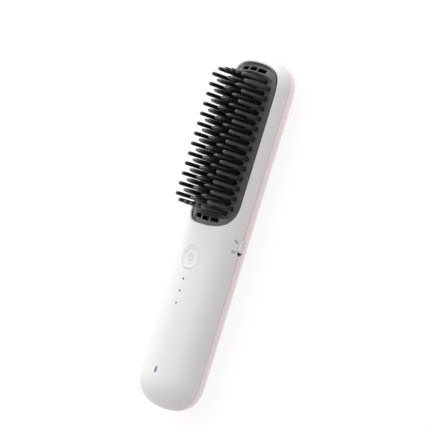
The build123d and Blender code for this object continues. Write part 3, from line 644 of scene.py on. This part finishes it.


# Lock slider and its switch
#
# A small glossy white thumb knob in a slot on the right side, with a painted highlight on its upward faces
# and its other faces painted a little darker as painted shade. It drives the nylon lever of a slide switch
# that stands on its own board, and two printed padlocks show its ends.

# Painted shade and highlight: the knob's white is painted a little darker, and faces that turn upward near
# white.
knob_shaded_face = (0.82, 0.81, 0.805)
knob_white = moulded("knob_white", knob_shaded_face, knob_shaded_face, 0.34, 2600, 0.003 * mm)
painted_edge_highlight = knob_white.ramp(rise(knob_white), 0.3, 0.6)
knob_white.give(Base_Color=knob_white.blend(painted_edge_highlight, knob_white.colour, (0.97, 0.965, 0.96)))
knob_white.give(Coat_Weight=1.0, Coat_Roughness=0.12, Coat_IOR=1.6)
knob_white.on("lock_slider")
switch_black = moulded("switch_black", (0.025, 0.025, 0.027), (0.036, 0.036, 0.038), 0.5, 1700, 0.01 * mm)
switch_black.on("slide_switch")


def on_side(middle, height):
    """A wrap for drawings on the right side: along the handle, and up round the curve of the skin."""

    def wrap(a, b):
        z = (height + b) / half_depth
        x = half_width * sqrt(1 - z * z)
        place = Vector((x, middle + a, parting_height + height + b))
        return place, body_normal(place)[0]

    return wrap


def padlock(swing):
    """An outlined padlock: its body by the slot, its shackle away from it and swung aside when open."""
    width, height, stroke = 1.5 * mm, 1.2 * mm, 0.28 * mm
    radius, leg, gap = 0.45 * mm, 0.22 * mm, 0.02 * mm
    side = (width - stroke) / 2
    low, high = stroke / 2, height - stroke / 2
    lower = [(-side, low), (0, low), (side, low)]
    upper = [(side, high), (0, high), (-side, high)]
    foot = height + gap
    bow = [(swing + radius, foot)] + arc(swing, foot + leg, radius, 0, 180, 14)
    bow.append((swing - radius, foot))
    return ribbon(lower + upper, stroke, True) + ribbon(bow, stroke)


lock_ink = grey_ink("lock_ink", (0.13, 0.127, 0.127), (0.1, 0.098, 0.098))

# Each padlock's place along the handle, height above the parting line, and how far its shackle swings aside
padlocks = [("padlock_open", -1.5 * mm, 3.04 * mm, 0.75 * mm), ("padlock_closed", -7.1 * mm, 3.2 * mm, 0)]
for name, place, height, swing in padlocks:
    mark = piece_from(printed(padlock(swing), on_side(place, height)), name, "body")
    coat(mark, lock_ink)


# Rechargeable cell
#
# One round lithium cell in a blue shrunk sleeve, lying in a black trough that four screws hold to the rear
# cover. Nickel strips are welded to its ends and a paper sheet covers its top.

cell_middle = -52.5 * mm
sleeve_end = 31.6 * mm
sleeve_edge = 0.3 * mm
sleeve = Finish("cell_sleeve_blue", Coat_Weight=0.35, Coat_Roughness=0.18)
ends = sleeve.ramp(abs(sleeve.axes()[1] - cell_middle), sleeve_end, sleeve_end + sleeve_edge)
wrinkle = sleeve.noise(1, 3, 0.6, sleeve.stretch(260, 60, 260))
wrapped = sleeve.blend(wrinkle, (0.02, 0.09, 0.3), (0.03, 0.12, 0.36))
sleeve.give(Base_Color=sleeve.blend(ends, wrapped, (0.5, 0.5, 0.5)), Roughness=0.3 + 0.12 * wrinkle)
sleeve.relief(wrinkle, 0.05 * mm)
sleeve.on("battery_cell")
nickel = drawn_metal("nickel_strip", (0.62, 0.59, 0.54), (0.52, 0.49, 0.45), 0.28, (2800, 2800, 120))
nickel.on("cell_tabs")
paper = Finish("fish_paper", Roughness=0.85)
fibres = paper.noise(1, 4, 0.7, paper.stretch(900, 260, 900))
paper.give(Base_Color=paper.blend(fibres, (0.55, 0.5, 0.38), (0.66, 0.62, 0.5)))
paper.relief(fibres, 0.02 * mm)
paper.on("insulating_sheet")
cradle_black = moulded("cradle_black", (0.028, 0.028, 0.03), (0.038, 0.038, 0.04), 0.55, 1600, 0.015 * mm)
cradle_black.on("cell_cradle")


# Charging socket
#
# A drawn steel shell at the tail, soldered to the small board. The black tongue in its middle has a row of
# gilded contacts.

socket_steel = drawn_metal("socket_steel", (0.6, 0.6, 0.61), (0.5, 0.5, 0.51), 0.24, (2500, 120, 2500))
socket_steel.on("usb_socket")
contact_pitch = 0.5 * mm
contact_half = 0.14 * mm
contact_edge = 0.02 * mm
tongue = Finish("tongue_black", Roughness=0.4)
across = tongue.node("ShaderNodeMath", {"operation": "WRAP"}, (tongue.axes()[0], contact_pitch, 0.0))
between = tongue.ramp(abs(across - contact_pitch / 2), contact_half, contact_half + contact_edge)
tongue.give(Base_Color=tongue.blend(between, (0.7, 0.5, 0.2), (0.02, 0.02, 0.022)))
tongue.give(Metallic=1 - between)
tongue.on("usb_tongue")


# Screws
#
# Long and short steel screws with cross recesses, blackened for the covers and bright for the boards, the
# trough and the socket.

black_steel = drawn_metal("black_steel", (0.1, 0.1, 0.105), (0.06, 0.06, 0.062), 0.4, (1500, 1500, 1500))
black_steel.on("cover_screws")
bright_steel = drawn_metal("bright_steel", (0.6, 0.6, 0.61), (0.48, 0.48, 0.49), 0.3, (1700, 1700, 1700))
bright_steel.on("board_screws", "cradle_screws", "usb_screws")


# Leads
#
# Soft silicone-covered wires between the boards, the cell and the head: red for power, white for signals,
# each with a faint dusty bloom.


def silicone(name, light, dark):
    """Soft wire covering with a dusty bloom."""
    finish = Finish(name, Sheen_Weight=0.2, Sheen_Roughness=0.5)
    bloom = finish.noise(800, 3, 0.6)
    finish.give(Base_Color=finish.blend(bloom, light, dark), Roughness=0.55 + 0.2 * bloom)
    finish.relief(finish.noise(2600, 2), 0.01 * mm)
    return finish


silicone("red_silicone", (0.5, 0.02, 0.015), (0.6, 0.05, 0.035)).on("cell_leads", "heater_leads")
white_leads = ("sensor_leads", "ion_leads", "switch_leads", "usb_leads")
silicone("white_silicone", (0.78, 0.77, 0.74), (0.7, 0.69, 0.66)).on(*white_leads)


# Table top
#
# A plain pale top that the brush lies on. It shows nearly white in the picture and in reflections, and still
# takes the brush's soft shadow.

table_half = 6.0
table_drop = 0.05 * mm
table_glow = 1.05
glow_share = 0.85
slab = bmesh.new()
bmesh.ops.create_grid(slab, x_segments=1, y_segments=1, size=table_half)
table_mesh = bpy.data.meshes.new("table_top")
slab.to_mesh(table_mesh)
slab.free()
table_top = bpy.data.objects.new("table_top", table_mesh)
bpy.context.scene.collection.objects.link(table_top)
table_top.location.z = -table_drop
pale = Finish("pale_table", Base_Color=(0.93, 0.86, 0.86), Roughness=0.9)
seen = pale.node("ShaderNodeLightPath", output="Is Camera Ray")
mirrored = pale.node("ShaderNodeLightPath", output="Is Glossy Ray")
through = pale.node("ShaderNodeLightPath", output="Is Transmission Ray")
share = glow_share * (seen + mirrored + through)
matt = Term(pale, pale.shader.outputs[0])
glow = pale.node("ShaderNodeEmission", {}, {"Color": (1, 1, 1), "Strength": table_glow})
both = pale.node("ShaderNodeMixShader", {}, {0: share, 1: matt, 2: glow})
pale.join(pale.tree.nodes["Material Output"].inputs["Surface"], both)
coat(table_top, pale)


# Studio light
#
# Even white light all round, a little stronger from the upper left of the picture. A large soft lamp hangs
# above, a wide one with a faint blush stands on the left, and a small one low beyond the head.

even_light = 0.55
light_lean = (-0.1, 0.08, 0.0)
world = bpy.data.worlds.new("studio")
bpy.context.scene.world = world
world.use_nodes = True
sky = Recipe(world.node_tree)
direction = sky.node("ShaderNodeTexCoord", output="Generated")
lean = sky.node("ShaderNodeVectorMath", {"operation": "DOT_PRODUCT"}, (direction, light_lean), "Value")
straight = sky.node("ShaderNodeLightPath", output="Is Camera Ray")
strength = sky.node("ShaderNodeMix", {}, {0: straight, 2: lean + even_light, 3: 1.0})
background = sky.tree.nodes["Background"]
sky.join(background.inputs["Color"], (1, 1, 1))
sky.join(background.inputs["Strength"], strength)


def lamp(name, place, aim, size, power, colour=(1, 1, 1)):
    """A square soft lamp that faces a point."""
    data = bpy.data.lights.new(name, "AREA")
    data.size = size
    data.energy = power
    data.color = colour
    light = bpy.data.objects.new(name, data)
    bpy.context.scene.collection.objects.link(light)
    light.location = place
    light.rotation_euler = (aim - place).to_track_quat("-Z", "Y").to_euler()


middle = Vector((0, 0, parting_height))
lamp("key_lamp", Vector((-0.25, 0.4, 1.6)), middle, 1.1, 8.5)
lamp("side_lamp", Vector((-1.25, 0.1, 0.44)), middle, 1.3, 5, (1.0, 0.93, 0.93))
lamp("head_lamp", Vector((-0.35, 1.35, 0.5)), middle, 0.5, 8)


# Camera
#
# A long lens on the slider's side of the brush, 49 degrees off its face. It is rolled so that the brush lies
# slantwise in the picture, and it aims a little past the middle of the body.

view_angle = radians(49)
yaw = radians(0.1)
roll = radians(16.98)
distance = 1213.5 * mm
aim_along = 9.29 * mm
aim_across = -3.51 * mm
toward = Vector((sin(view_angle) * cos(yaw), sin(yaw), cos(view_angle) * cos(yaw)))
lengthwise = (Vector((0, 1, 0)) - toward.y * toward).normalized()
crosswise = lengthwise.cross(toward)
right = crosswise * cos(roll) + lengthwise * sin(roll)
above = lengthwise * cos(roll) - crosswise * sin(roll)
target = middle + lengthwise * aim_along + crosswise * aim_across
lens = bpy.data.cameras.new("camera")
lens.sensor_width = 36
lens.lens = 177.17
camera = bpy.data.objects.new("camera", lens)
bpy.context.scene.collection.objects.link(camera)
turned = Matrix((right, above, toward)).transposed().to_4x4()
camera.matrix_world = Matrix.Translation(target + toward * distance) @ turned
bpy.context.scene.camera = camera
bpy.context.scene.view_settings.view_transform = "Standard"
